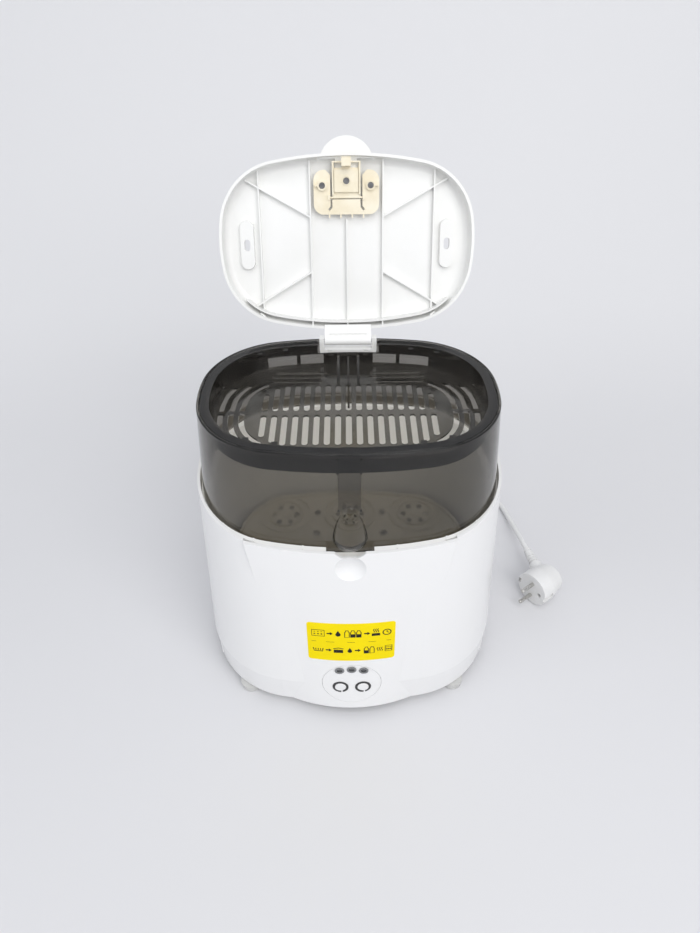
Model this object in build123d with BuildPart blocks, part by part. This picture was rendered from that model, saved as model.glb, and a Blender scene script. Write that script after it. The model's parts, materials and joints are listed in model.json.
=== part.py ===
from build123d import *
import os
from math import atan2, cos, degrees, hypot, radians, sin, sqrt, tan

os.makedirs("parts", exist_ok=True)

# ---------------------------------------------------------------------------
# Electric bottle sterilizer, lid open. Millimetres, +Z up, front towards -Y.
# The origin is at the middle of the bottom of the whole object's box.
# ---------------------------------------------------------------------------

body_y = -22.75         # y of the housing's own centre

# plan outline of the chamber's rim: four wide arcs joined by corner arcs
rim_a, rim_b = 132.0, 90.6              # half width and half depth
rim_front_r, rim_side_r, rim_corner_r = 408.0, 167.0, 76.5
rim_z = 330.6

# base housing
base_bottom_z = 10.0
base_wide_z = 47.0
base_loft_top_z = 274.0
base_offsets = ((10.0, 19.0), (47.0, 21.3), (252.0, 10.8))   # z, outward offset from the rim outline
base_wall = 2.6
bulge_bottom_half, bulge_top_half = 62.0, 94.0
bulge_depth, bulge_low_z, bulge_top_z = 8.0, 12.8, 242.0
seam_mid_z, seam_r = 231.3, 2000.0      # arched top edge of the base, at the front
seam_rise = 0.15                        # rise of that edge per mm towards the rear
panel_z, panel_r = 52.0, 30.0
button_x, button_z, button_r, button_travel = 11.4, 47.5, 5.7, 1.6
lamp_r = 3.0
lamps = ((-12.0, 73.4), (0.0, 75.2), (12.0, 73.4))
label_w, label_z0, label_z1 = 84.0, 89.0, 142.5

# water basin and heater
basin_flange_z = 222.0                  # top of the flange at the front; it rises with the edge
basin_floor_z = 80.0
seat_t = 1.2                            # seat of the chamber's foot, on the flange
plate_r = 74.0

# chamber, tray and rack
chamber_wall = 2.4
tray_floor_z = 307.3
rack_deck_z = 137.0
well_x, well_y, well_r = 71.0, 45.0, 28.5

# lid: plane of its rim when open, leaning back
lid_lean = 19.83
lid_y, lid_z = 93.2, 333.24             # foot of the lid plane, from the housing's centre
lid_a, lid_b, lid_c = 119.1, 78.85, 83.45   # half width, half length, centre along the lid
lid_front_r, lid_side_r, lid_corner_r = 367.0, 150.0, 60.0
lid_depth, lid_wall = 16.0, 2.4
pin_q, pin_w = -6.2, 1.4                # hinge axis in the lid's own plane
hinge_r = 1.6

# mains cord
cord_r = 3.0
gland_x, gland_z = 70.0, 22.0
coil_x, coil_y, coil_r = 110.0, 185.0, 33.0
plug_face = (216.1, 29.6, 21.5)
plug_turn, plug_cord_turn = 36.0, 12.0      # the way the pins point, and the way the cord leaves
plug_back = 22.0                        # from the plug's face to the cord's line


def at(z, y=0.0):
    """Horizontal plane at height z, centred on the housing."""
    return Plane(origin=(0, body_y + y, z))


def facing(y, x=0.0, z=0.0):
    """Upright plane whose normal points to the front; local x is X, local y is Z."""
    return Plane(origin=(x, body_y + y, z), x_dir=(1, 0, 0), z_dir=(0, -1, 0))


tilt = atan2(seam_rise, 1.0)


def slope(z):
    """Plane that rises towards the rear with the base's edge; z is its height at the front."""
    return Plane(origin=(0, body_y - 102, z), x_dir=(1, 0, 0), z_dir=(0, -sin(tilt), cos(tilt)))


def along_seam(drop=0.0):
    """Plane across the base's edge at the rear, facing forward and down along the slope."""
    return Plane(
        origin=(0, body_y + 160, seam_mid_z + seam_rise * 262 - drop),
        x_dir=(1, 0, 0),
        z_dir=(0, -cos(tilt), -sin(tilt)),
    )


def sideways(x):
    """Upright plane with normal +X; local x is Y, local y is Z."""
    return Plane(origin=(x, body_y, 0), x_dir=(0, 1, 0), z_dir=(1, 0, 0))


lean = radians(lid_lean)
LID = Plane(
    origin=(0, body_y + lid_y, lid_z),
    x_dir=(1, 0, 0),
    z_dir=(0, -cos(lean), sin(lean)),
)   # local x is X, local y runs up the lid, local z faces out of its inside


def lid_at(w):
    return LID.offset(w)


def lid_side(x):
    """Plane across the lid: local x runs up the lid, local y faces out of its inside."""
    o = LID.from_local_coords(Vector(x, 0, 0))
    return Plane(origin=o, x_dir=LID.y_dir, z_dir=(1, 0, 0))


def oval(o=0.0, a=rim_a, b=rim_b, rf=rim_front_r, rs=rim_side_r, rc=rim_corner_r, cy=0.0):
    """Eight tangent arcs: the outline with half sizes a and b, moved outward by o."""
    a, b, rf, rs, rc = a + o, b + o, rf + o, rs + o, rc + o
    fy, sx = b - rf, a - rs
    r1, r2 = rf - rc, rs - rc
    dx, dy = sx, -fy
    d = hypot(dx, dy)
    k = (r1 * r1 - r2 * r2 + d * d) / (2 * d)
    h = sqrt(max(r1 * r1 - k * k, 0.0))
    mx, my = k * dx / d, fy + k * dy / d
    c1 = (mx + h * dy / d, my - h * dx / d)
    c2 = (mx - h * dy / d, my + h * dx / d)
    px, py = c1 if c1[0] > c2[0] else c2
    t1 = degrees(atan2(py - fy, px))
    t2 = degrees(atan2(py, px - sx))
    CenterArc((0, cy + fy), rf, t1, 180 - 2 * t1)
    CenterArc((-px, cy + py), rc, 180 - t1, t1 - t2)
    CenterArc((-sx, cy), rs, 180 - t2, 2 * t2)
    CenterArc((-px, cy - py), rc, 180 + t2, t1 - t2)
    CenterArc((0, cy - fy), rf, -180 + t1, 180 - 2 * t1)
    CenterArc((px, cy - py), rc, -t1, t1 - t2)
    CenterArc((sx, cy), rs, -t2, 2 * t2)
    CenterArc((px, cy + py), rc, t2, t1 - t2)


def oval_face(mode=Mode.ADD, **kw):
    with BuildLine() as outline:
        oval(**kw)
    make_face(outline.line.edges(), mode=mode)


def base_offset(z):
    (z0, o0), (z1, o1), (z2, o2) = base_offsets
    if z <= z1:
        return o0 + (o1 - o0) * (z - z0) / (z1 - z0)
    return o1 + (o2 - o1) * (z - z1) / (z2 - z1)


def bulge(z):
    """Half width, edge y and nose y of the front bulge; all three vary evenly with z."""
    ends = []
    for zr, half, depth in ((bulge_low_z, bulge_bottom_half, bulge_depth), (bulge_top_z, bulge_top_half, 0.15)):
        o = base_offset(zr)
        rf = rim_front_r + o
        ends.append((half, -(rim_b + o) + rf - sqrt(rf * rf - half * half), -(rim_b + o) - depth))
    t = (z - bulge_low_z) / (bulge_top_z - bulge_low_z)
    return tuple(a + (b - a) * t for a, b in zip(*ends))


def bulge_face(z, inset):
    """Section of the front bulge: a stiffer arc in front of the main outline."""
    half, edge, nose = bulge(z)
    with BuildLine() as outline:
        ThreePointArc((-half, edge + inset), (0, nose + inset), (half, edge + inset))
        Polyline((half, edge + inset), (half, -50), (-half, -50), (-half, edge + inset))
    make_face(outline.line.edges())


def housing_form(inset, z_low, z_high):
    """Solid of the housing's outer form, moved inward by inset."""
    low = [(z_low, inset)]
    if z_low == base_bottom_z:
        low = [(z_low, inset + 2.4), (z_low + 1.0, inset + 0.9), (z_low + 2.8, inset)]
    with BuildPart() as form:
        for z, i in low + [(base_wide_z, inset), (z_high, inset)]:
            with BuildSketch(at(z)):
                oval_face(o=base_offset(z) - i)
        loft(ruled=True)
    with BuildPart() as nose:
        for z, i in low + [(bulge_top_z, inset)]:
            with BuildSketch(at(z)):
                bulge_face(z, i)
        loft(ruled=True)
    with BuildPart() as both:
        add(form.part)
        add(nose.part)
    return both.part


def front_y(x, z):
    """y of the housing's front surface near the middle, from the housing's centre."""
    half, edge, nose = bulge(z)
    sag = edge - nose
    r = (half * half + sag * sag) / (2 * sag)
    return nose + r - sqrt(r * r - x * x)


def save(builder, name):
    builder.part.label = name
    export_step(builder.part, f"parts/{name}.step")


# ---------------------------------------------------------------------------
# Base housing: one moulded shell with bulged front, arched mouth, panel seat
# ---------------------------------------------------------------------------

form_outer = housing_form(0.0, base_bottom_z, base_loft_top_z)
form_skin = housing_form(1.5, base_bottom_z - 4, base_loft_top_z + 4)
form_label = housing_form(-0.25, base_bottom_z, base_loft_top_z)
form_ring = housing_form(-0.5, base_bottom_z, base_loft_top_z)

scoop_r, scoop_y, scoop_z = 20.0, -118.0, 214.0
boss_xy = ((138.0, 46.0), (-138.0, 46.0), (138.0, -46.0), (-138.0, -46.0))

with BuildPart() as core:
    add(housing_form(base_wall, base_bottom_z - 4, base_loft_top_z + 4))
    # thicker wall behind the finger scoop and round the cord gland
    with Locations((0, body_y + scoop_y, scoop_z)):
        Sphere(scoop_r + 2.2, mode=Mode.SUBTRACT)
    with BuildSketch(facing(98.0, gland_x, gland_z)):
        Rectangle(26, 20)
    extrude(amount=-20, mode=Mode.SUBTRACT)

with BuildPart() as base_housing:
    add(form_outer)
    add(core.part, mode=Mode.SUBTRACT)
    # arched mouth
    with BuildSketch(along_seam()):
        with Locations((0, seam_r)):
            Circle(seam_r)
    extrude(amount=330, mode=Mode.SUBTRACT)
    # finger scoop under the chamber's tongue
    with Locations((0, body_y + scoop_y, scoop_z)):
        Sphere(scoop_r, mode=Mode.SUBTRACT)
    # opening behind the control panel
    with BuildSketch(facing(-100.0, 0, panel_z)):
        Circle(panel_r - 3.5)
    extrude(amount=30, mode=Mode.SUBTRACT)
    # notch for the chamber's tongue
    with BuildSketch(facing(-85.0, 0, 241.0)):
        Circle(16.4)
    extrude(amount=40, mode=Mode.SUBTRACT)
    # room for the lamps in the wall behind the panel
    with BuildSketch(facing(-100.0, 0, 0)):
        with Locations(*lamps):
            Circle(lamp_r + 1.1)
    extrude(amount=30, mode=Mode.SUBTRACT)
    # seat and hole of the cord gland
    with BuildSketch(facing(103.2, gland_x, gland_z)):
        Circle(10.3)
    extrude(amount=-20, mode=Mode.SUBTRACT)
    with BuildSketch(facing(90.0, gland_x, gland_z)):
        Circle(6.6)
    extrude(amount=-30, mode=Mode.SUBTRACT)
    # screw bosses joined to the side walls
    for x, y in boss_xy:
        s = 1 if x > 0 else -1
        with BuildSketch(at(12.0)):
            with Locations((x, y)):
                Circle(5.0)
            with Locations((x + s * 2.8, y)):
                Rectangle(6.4, 3.0)
        extrude(amount=52)
        with BuildSketch(at(12.0)):
            with Locations((x, y)):
                Circle(1.5)
        extrude(amount=20, mode=Mode.SUBTRACT)

# short ribs inside the side walls that carry the basin's flange
with BuildPart() as flange_ribs:
    for x in (-137.0, 137.0):
        for y in (-34.0, 34.0):
            top = basin_flange_z - 2.5 / cos(tilt) + seam_rise * (y - 1.5 + 102)
            with BuildSketch(at(top - 20.0)):
                with Locations((x, y)):
                    Rectangle(12.6, 3.0)
            extrude(amount=20.0)
    add(form_outer, mode=Mode.INTERSECT)

with BuildPart() as panel_pocket:
    add(form_outer)
    add(form_skin, mode=Mode.SUBTRACT)
    with BuildSketch(facing(-80.0, 0, panel_z)):
        Circle(panel_r)
    extrude(amount=60, mode=Mode.INTERSECT)

with BuildPart() as base_housing_cut:
    add(base_housing.part)
    add(flange_ribs.part)
    add(panel_pocket.part, mode=Mode.SUBTRACT)
base_housing_cut.part.label = "base_housing"
export_step(base_housing_cut.part, "parts/base_housing.step")

# control panel: round inlay that follows the housing's surface
with BuildPart() as control_panel:
    add(form_outer)
    add(form_skin, mode=Mode.SUBTRACT)
    with BuildSketch(facing(-80.0, 0, panel_z)):
        Circle(panel_r - 0.35)
    extrude(amount=60, mode=Mode.INTERSECT)
    with BuildSketch(facing(-80.0, 0, 0)):
        with Locations((-button_x, button_z), (button_x, button_z)):
            Circle(button_r + 0.25)
        with Locations(*lamps):
            Circle(lamp_r + 1.0)
    extrude(amount=60, mode=Mode.SUBTRACT)
save(control_panel, "control_panel")

# yellow information label, a thin film on the front
with BuildPart() as info_label:
    add(form_label)
    add(form_outer, mode=Mode.SUBTRACT)
    with BuildSketch(facing(-80.0, 0, (label_z0 + label_z1) / 2)):
        RectangleRounded(label_w, label_z1 - label_z0, 3.0)
    extrude(amount=60, mode=Mode.INTERSECT)
save(info_label, "info_label")

# black rings round the buttons, each with a small gap at its lower edge
with BuildPart() as button_rings:
    add(form_ring)
    add(form_outer, mode=Mode.SUBTRACT)
    with BuildSketch(facing(-80.0, 0, button_z)):
        for s in (-1, 1):
            with Locations((s * button_x, 0)):
                Circle(8.1)
                Circle(button_r + 0.25, mode=Mode.SUBTRACT)
            with Locations((s * button_x + 1.4, -7.0)):
                Rectangle(1.6, 5.0, mode=Mode.SUBTRACT)
    extrude(amount=60, mode=Mode.INTERSECT)
save(button_rings, "button_rings")

# lamps: grey bezel with a dark lens, and a clear guide behind
with BuildPart() as lamp_bezels:
    for x, z in lamps:
        y0 = front_y(x, z)
        with BuildSketch(facing(y0 + 3.0, x, z)):
            Circle(lamp_r + 0.9)
            Circle(lamp_r, mode=Mode.SUBTRACT)
        extrude(amount=3.5)
        with BuildSketch(facing(y0 - 0.35, x, z)):
            Circle(lamp_r + 1.7)
            Circle(lamp_r, mode=Mode.SUBTRACT)
        extrude(amount=0.55)
save(lamp_bezels, "lamp_bezels")

with BuildPart() as lamp_lenses:
    for x, z in lamps:
        y0 = front_y(x, z)
        with BuildSketch(facing(y0 + 3.0, x, z)):
            Circle(lamp_r - 0.1)
        extrude(amount=2.9)
save(lamp_lenses, "lamp_lenses")

with BuildPart() as light_guides:
    for x, z in lamps:
        y0 = front_y(x, z)
        with BuildSketch(facing(-104.2, x, z)):
            Circle(2.4)
        extrude(amount=-(y0 + 3.0) - 104.2)
save(light_guides, "light_guides")

# push buttons: cap, retaining flange and stem
for side, s in (("left", -1), ("right", 1)):
    with BuildPart() as button_cap:
        y0 = front_y(button_x, button_z)
        with BuildSketch(facing(y0 + 3.0, s * button_x, button_z)):
            Circle(button_r)
        extrude(amount=4.2)
        fillet(button_cap.faces().sort_by(Axis.Y)[0].edges(), radius=0.8)
        with BuildSketch(facing(y0 + 4.6, s * button_x, button_z)):
            Circle(button_r + 1.4)
        extrude(amount=1.6)
        with BuildSketch(facing(-102.9, s * button_x, button_z)):
            Circle(2.4)
        extrude(amount=-(y0 + 4.6) - 102.9)
    save(button_cap, f"button_{side}")

with BuildPart() as button_springs:
    for s in (-1, 1):
        with BuildSketch(facing(-97.1, s * button_x, button_z)):
            Circle(5.0)
            Circle(4.3, mode=Mode.SUBTRACT)
        extrude(amount=-(front_y(button_x, button_z) + 4.6) - 97.1 - 1.8)
save(button_springs, "button_springs")

# ---------------------------------------------------------------------------
# Control board with switches and lamps
# ---------------------------------------------------------------------------

with BuildPart() as control_board:
    with BuildSketch(facing(-95.4, 0, 53.0)):
        RectangleRounded(84, 60, 2)
        with Locations((-38, -26), (38, -26), (-38, 26), (38, 26)):
            Circle(1.6, mode=Mode.SUBTRACT)
    extrude(amount=1.6)
save(control_board, "control_board")

with BuildPart() as tact_switches:
    for s in (-1, 1):
        with BuildSketch(facing(-97.0, s * button_x, button_z)):
            Rectangle(6, 6)
        extrude(amount=3.0)
        with BuildSketch(facing(-100.0, s * button_x, button_z)):
            Circle(1.7)
        extrude(amount=1.0)
save(tact_switches, "tact_switches")

with BuildPart() as indicator_leds:
    for x, z in lamps:
        with BuildSketch(facing(-97.0, x, z)):
            Circle(2.5)
        extrude(amount=7.0)
        fillet(indicator_leds.faces().sort_by(Axis.Y)[0].edges(), radius=1.6)
save(indicator_leds, "indicator_leds")

with BuildPart() as relay:
    with BuildSketch(facing(-95.4, -22.0, 40.0)):
        Rectangle(19, 15)
    extrude(amount=-15)
    fillet(relay.edges().filter_by(Axis.Y), radius=0.8)
save(relay, "relay")

with BuildPart() as board_posts:
    for x in (-38, 38):
        for z in (27.0, 79.0):
            with BuildSketch(facing(-97.0, x, z)):
                Circle(3.2)
                Circle(1.3, mode=Mode.SUBTRACT)
            extrude(amount=6.5)
save(board_posts, "board_posts")

with BuildPart() as board_screws:
    for x in (-38, 38):
        for z in (27.0, 79.0):
            with BuildSketch(facing(-95.4, x, z)):
                Circle(2.8)
            extrude(amount=-1.8)
            with BuildSketch(facing(-95.4, x, z)):
                Circle(1.2)
            extrude(amount=7.0)
save(board_screws, "board_screws")

# ---------------------------------------------------------------------------
# Bottom pan, feet and screws
# ---------------------------------------------------------------------------

with BuildPart() as bottom_pan:
    with BuildSketch(at(9.5)):
        oval_face(o=15.4)
    extrude(amount=2.5)
    with BuildSketch(at(9.5)):
        for x, y in boss_xy:
            with Locations((x, y)):
                Circle(2.0)
        with Locations((0, -58), (0, -50), (0, -42), (0, 42), (0, 50), (0, 58)):
            SlotOverall(70, 3.0)
    extrude(amount=2.5, mode=Mode.SUBTRACT)
    # saddle that carries the cord clamp
    with BuildSketch(at(12.0)):
        with Locations((gland_x, 82)):
            Rectangle(26, 9)
    extrude(amount=gland_z - 12.0 - cord_r - 0.1)
save(bottom_pan, "bottom_pan")

with BuildPart() as feet:
    for x in (-109.0, 109.0):
        for y in (-80.5, 80.5):
            with BuildSketch(at(9.5)):
                with Locations((x, y)):
                    Circle(11.0)
            extrude(amount=-9.5, taper=6)
    fillet(feet.edges().group_by(Axis.Z)[0], radius=1.6)
save(feet, "feet")

with BuildPart() as case_screws:
    for x, y in boss_xy:
        with BuildSketch(at(9.5)):
            with Locations((x, y)):
                Circle(3.2)
        extrude(amount=-2.2)
        with BuildSketch(at(9.5)):
            with Locations((x, y)):
                Circle(1.4)
        extrude(amount=18)
save(case_screws, "case_screws")

# ---------------------------------------------------------------------------
# Guide ring in the mouth: the pale ribbed ledge round the chamber
# ---------------------------------------------------------------------------

chamber_foot = dict(a=140.4, b=94.6, rf=412.0, rs=168.0, rc=80.0)
chamber_seam = dict(a=139.4, b=94.0, rf=411.4, rs=167.4, rc=79.4)


with BuildPart() as ledge_space:
    for z in (basin_flange_z - 4, base_loft_top_z):
        with BuildSketch(at(z)):
            oval_face(o=base_offset(z) - base_wall - 0.3)
    loft(ruled=True)
    with BuildSketch(slope(basin_flange_z)):
        with Locations((0, 100)):
            Rectangle(400, 400)
    extrude(amount=-60, mode=Mode.SUBTRACT)
    # room for the tongue and the thickened wall behind the scoop
    with BuildSketch(at(basin_flange_z - 5)):
        with Locations((0, -108)):
            Rectangle(42, 34)
    extrude(amount=60, mode=Mode.SUBTRACT)


def ledge_form(drop):
    """Solid between the chamber's foot and the housing, up to drop below the edge."""
    with BuildPart() as ledge:
        add(ledge_space.part)
        with BuildSketch(at(basin_flange_z - 5)):
            oval_face(o=0.6, **chamber_foot)
        extrude(amount=80, mode=Mode.SUBTRACT)
        with BuildSketch(along_seam(drop)):
            with Locations((0, seam_r)):
                Circle(seam_r)
        extrude(amount=330, mode=Mode.SUBTRACT)
    return ledge.part


# flat seat under the chamber's foot, which joins the ledge all round
with BuildPart() as ring_seat:
    add(ledge_space.part)
    with BuildSketch(slope(basin_flange_z + seat_t)):
        with Locations((0, 100)):
            Rectangle(400, 400)
    extrude(amount=80, mode=Mode.SUBTRACT)
    with BuildSketch(at(basin_flange_z - 5)):
        oval_face(o=-4.0, **chamber_foot)
    extrude(amount=80, mode=Mode.SUBTRACT)

with BuildPart() as ledge_ribs:
    with BuildSketch(at(basin_flange_z)):
        for x in (-112.0, -84.0, -41.0, 41.0, 84.0, 112.0):
            with Locations((x, -85.0)):
                Rectangle(1.4, 60.0)
            with Locations((x, 85.0)):
                Rectangle(1.4, 60.0)
        for y in (-30.0, 30.0):
            with Locations((0.0, y)):
                Rectangle(320.0, 1.4)
    extrude(amount=60)
    add(ledge_form(0.1), mode=Mode.INTERSECT)

with BuildPart() as guide_ring:
    add(ring_seat.part)
    add(ledge_form(0.9))
    add(ledge_ribs.part)
save(guide_ring, "guide_ring")

# ---------------------------------------------------------------------------
# Water basin: flanged liner with a round opening for the heating plate
# ---------------------------------------------------------------------------

with BuildPart() as basin_inside:
    for z, o in ((basin_floor_z, -7.0), (264.0, -1.2)):
        with BuildSketch(at(z)):
            oval_face(o=o)
    loft(ruled=True)

with BuildPart() as basin_flange:
    with BuildSketch(slope(basin_flange_z - 2.5 / cos(tilt))):
        with Locations((0, 100)):
            Rectangle(400, 400)
    extrude(amount=2.5)
    add(housing_form(base_wall + 0.35, basin_flange_z - 30, base_loft_top_z), mode=Mode.INTERSECT)
    with BuildSketch(at(basin_flange_z - 10)):
        with Locations((0, -112)):
            Rectangle(46, 30)
    extrude(amount=20, mode=Mode.SUBTRACT)

with BuildPart() as water_basin:
    for z, o in ((basin_floor_z - 2.0, -5.0), (262.0, 0.8)):
        with BuildSketch(at(z)):
            oval_face(o=o)
    loft(ruled=True)
    with BuildSketch(slope(basin_flange_z - 1.5)):
        with Locations((0, 100)):
            Rectangle(400, 400)
    extrude(amount=80, mode=Mode.SUBTRACT)
    add(basin_flange.part)
    add(basin_inside.part, mode=Mode.SUBTRACT)
    with BuildSketch(at(basin_floor_z - 3)):
        Circle(66.0)
    extrude(amount=4, mode=Mode.SUBTRACT)
    # screw posts under the floor
    with BuildSketch(at(basin_floor_z - 2.0)):
        with PolarLocations(79.5, 4, 45):
            Circle(4.0)
    extrude(amount=-4.5)
    with BuildSketch(at(basin_floor_z - 6.5)):
        with PolarLocations(79.5, 4, 45):
            Circle(1.3)
    extrude(amount=5.0, mode=Mode.SUBTRACT)
save(water_basin, "water_basin")

with BuildPart() as plate_gasket:
    with BuildSketch(at(basin_floor_z - 3.5)):
        Circle(plate_r)
        Circle(66.0, mode=Mode.SUBTRACT)
    extrude(amount=1.5)
save(plate_gasket, "plate_gasket")

with BuildPart() as heating_plate:
    with BuildSketch(at(basin_floor_z - 6.5)):
        Circle(plate_r)
    extrude(amount=3.0)
    with BuildSketch(at(basin_floor_z - 3.5)):
        Circle(62.0)
    extrude(amount=1.8)
    fillet(heating_plate.faces().sort_by(Axis.Z)[-1].edges(), radius=1.2)
save(heating_plate, "heating_plate")

with BuildPart() as plate_clamp_ring:
    with BuildSketch(at(basin_floor_z - 8.5)):
        Circle(85.0)
        Circle(60.0, mode=Mode.SUBTRACT)
        with PolarLocations(79.5, 4, 45):
            Circle(1.7, mode=Mode.SUBTRACT)
    extrude(amount=2.0)
save(plate_clamp_ring, "plate_clamp_ring")

with BuildPart() as clamp_screws:
    for k in range(4):
        a = radians(45 + 90 * k)
        x, y = 79.5 * cos(a), 79.5 * sin(a)
        with BuildSketch(at(basin_floor_z - 8.5)):
            with Locations((x, y)):
                Circle(3.2)
        extrude(amount=-2.0)
        with BuildSketch(at(basin_floor_z - 8.5)):
            with Locations((x, y)):
                Circle(1.2)
        extrude(amount=6.5)
save(clamp_screws, "clamp_screws")

# sheathed element under the plate, an open ring with two cold pins
with BuildPart() as heating_element:
    element_z = basin_floor_z - 10.6
    with BuildSketch(Plane(origin=(0, body_y, element_z), x_dir=(1, 0, 0), z_dir=(0, -1, 0))):
        with Locations((45.0, 0)):
            Circle(4.0)
    revolve(axis=Axis((0, body_y, 0), (0, 0, 1)), revolution_arc=320)
    for ang in (0.0, 320.0):
        a = radians(ang)
        x, y = 45.0 * cos(a), 45.0 * sin(a)
        t = 1.0 if ang > 0 else -1.0
        with BuildSketch(Plane(origin=(x, body_y + y, element_z), x_dir=(0, 0, 1), z_dir=(-sin(a) * t, cos(a) * t, 0))):
            Circle(2.0)
        extrude(amount=9.0)
save(heating_element, "heating_element")

with BuildPart() as thermostat:
    with BuildSketch(at(basin_floor_z - 6.6)):
        Circle(8.5)
    extrude(amount=-9.0)
    with BuildSketch(at(basin_floor_z - 15.6)):
        with Locations((-5.0, 0), (5.0, 0)):
            Rectangle(0.8, 6.3)
    extrude(amount=-8.0)
save(thermostat, "thermostat")

with BuildPart() as thermal_fuse:
    with BuildSketch(Plane(origin=(10.0, body_y - 24.0, basin_floor_z - 9.6), x_dir=(0, 1, 0), z_dir=(1, 0, 0))):
        Circle(2.6)
    extrude(amount=-20)
save(thermal_fuse, "thermal_fuse")

# ---------------------------------------------------------------------------
# Bottle rack: deck with six drained wells on four legs
# ---------------------------------------------------------------------------

rack = dict(a=120.0, b=78.6, rf=396.0, rs=155.0, rc=66.0)
wells = [(x, y) for x in (-well_x, 0.0, well_x) for y in (-well_y, well_y)]

with BuildPart() as bottle_rack:
    with BuildSketch(at(rack_deck_z - 2.5)):
        oval_face(**rack)
    extrude(amount=2.5)
    with BuildSketch(at(rack_deck_z)):
        oval_face(**rack)
        oval_face(mode=Mode.SUBTRACT, o=-2.4, **rack)
    extrude(amount=3.0)
    with BuildSketch(at(rack_deck_z - 2.5)):
        oval_face(**rack)
        oval_face(mode=Mode.SUBTRACT, o=-2.2, **rack)
    extrude(amount=-8.0)
    for x, y in wells:
        with BuildSketch(at(rack_deck_z)):
            with Locations((x, y)):
                Circle(well_r)
                Circle(well_r - 2.0, mode=Mode.SUBTRACT)
                Circle(19.5)
                Circle(18.0, mode=Mode.SUBTRACT)
        extrude(amount=2.6)
        with BuildSketch(at(rack_deck_z)):
            with Locations((x, y)):
                Circle(5.0)
        extrude(amount=1.2)
    with BuildSketch(at(rack_deck_z - 3)):
        for x, y in wells:
            with Locations((x, y)):
                with PolarLocations(12.5, 6, 0):
                    Circle(3.2)
        for x in (-well_x / 2, well_x / 2):
            with Locations((x, 16.0), (x, -16.0), (x, 47.5), (x, -47.5)):
                Circle(3.8)
    extrude(amount=6, mode=Mode.SUBTRACT)
    # legs down to the basin floor
    for x in (-88.0, 88.0):
        for y in (-44.0, 44.0):
            with BuildSketch(at(basin_floor_z)):
                with Locations((x, y)):
                    Rectangle(12, 12)
                    Rectangle(8, 8, mode=Mode.SUBTRACT)
            extrude(amount=rack_deck_z - 2.5 - basin_floor_z)
save(bottle_rack, "bottle_rack")

# ---------------------------------------------------------------------------
# Chamber: see-through sleeve with tongue, front channel, catch and hinge seat
# ---------------------------------------------------------------------------

tongue_z, tongue_y, tongue_r = 241.0, -88.0, 16.0
tongue_sections = ((241.0, 16.0), (246.0, 15.5), (251.0, 14.7), (256.0, 13.6), (261.0, 12.1), (266.0, 10.3), (271.0, 8.0), (275.0, 5.6), (277.0, 4.2))


def tongue_form(inset):
    """Half dome under a rounded arch: the pull that stands out of the chamber's front."""
    with BuildPart() as form:
        for z, r in tongue_sections:
            with BuildSketch(at(z, tongue_y)):
                Circle(r - inset)
        loft(ruled=True)
        with Locations((0, body_y + tongue_y, tongue_z)):
            Sphere(tongue_r - inset)
    return form.part


with BuildPart() as chamber_inside:
    for z, kw in (
        (basin_flange_z - 20, dict(o=-chamber_wall, **chamber_foot)),
        (232.0, dict(o=-chamber_wall, **chamber_seam)),
        (rim_z - 4.6, dict(o=-chamber_wall)),
    ):
        with BuildSketch(at(z)):
            oval_face(**kw)
    loft(ruled=True)
    add(tongue_form(2.2))

with BuildPart() as chamber:
    for z, kw in (
        (basin_flange_z - 15.5, dict(o=0.0, **chamber_foot)),
        (232.0, dict(o=0.0, **chamber_seam)),
        (rim_z, dict(o=0.0)),
    ):
        with BuildSketch(at(z)):
            oval_face(**kw)
    loft(ruled=True)
    with BuildSketch(slope(basin_flange_z + seat_t)):
        with Locations((0, 100)):
            Rectangle(400, 400)
    extrude(amount=-60, mode=Mode.SUBTRACT)
    add(tongue_form(0.0))
    add(chamber_inside.part, mode=Mode.SUBTRACT)
    # mouth above the tray seat
    with BuildSketch(at(rim_z - 4.6)):
        oval_face(o=-7.0)
    extrude(amount=6, mode=Mode.SUBTRACT)
    with BuildSketch(at(rim_z - 2.6)):
        oval_face(o=-chamber_wall)
    extrude(amount=6, mode=Mode.SUBTRACT)
    fillet(chamber.edges().group_by(Axis.Z)[-1], radius=0.8)
    # seat of the hinge in the rear rim
    with BuildSketch(facing(110.0, 0, 0)):
        with Locations((0, 336.0)):
            Rectangle(55.6, 40.0)
    extrude(amount=40, mode=Mode.SUBTRACT)
    # front channel under the catch
    with BuildSketch(at(270.0)):
        with Locations((-9.4, -88.0), (9.4, -88.0)):
            Rectangle(1.8, 7.0)
    extrude(amount=rim_z - 4.0 - 270.0)
with BuildPart() as chamber_done:
    add(chamber.part)
chamber_done.part.label = "chamber"
export_step(chamber_done.part, "parts/chamber.step")

# ---------------------------------------------------------------------------
# Tray: slotted dish hung on the chamber's rim
# ---------------------------------------------------------------------------

slot_pitch, slot_w = 9.5, 5.3

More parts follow.
